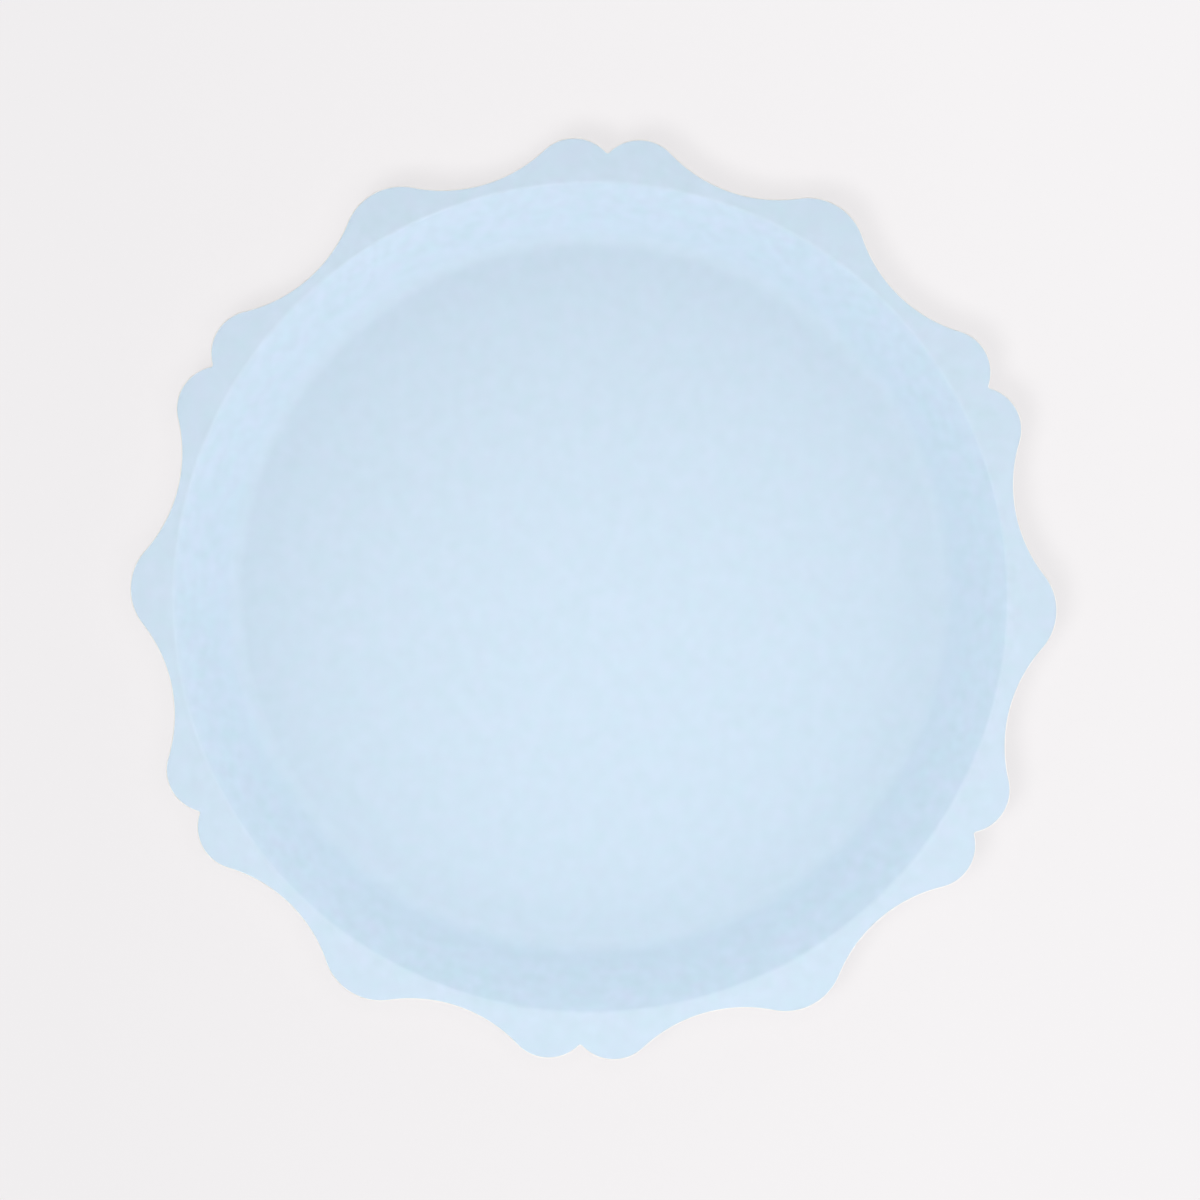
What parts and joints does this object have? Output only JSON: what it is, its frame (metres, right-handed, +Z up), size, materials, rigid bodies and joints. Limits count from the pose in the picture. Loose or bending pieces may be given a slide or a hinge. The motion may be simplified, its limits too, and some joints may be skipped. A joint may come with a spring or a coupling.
{
  "type": "dessert plate",
  "caption": "Shallow round dessert plate of pressed paperboard with a flat scalloped rim of alternating single and paired lobes, pale blue on the face and white on the back.",
  "frame": {"origin": "centre of the underside of the well, on the surface that the plate stands on", "axes": "+Z up out of the dish, +X through the tip of a single lobe, +Y through the notch of a pair of lobes"},
  "size_m": [0.203, 0.2024, 0.0146],
  "materials": {
    "film": "clear matte food-safe film",
    "face_paper": "matte pale blue printed paper",
    "board": "uncoated white board, seen only at the cut edge",
    "liner_paper": "matte uncoated white paper"
  },
  "bodies": {
    "root": {"barrier_film": "film", "face_sheet": "face_paper", "board_core": "board", "back_liner": "liner_paper"}
  },
  "joints": []
}
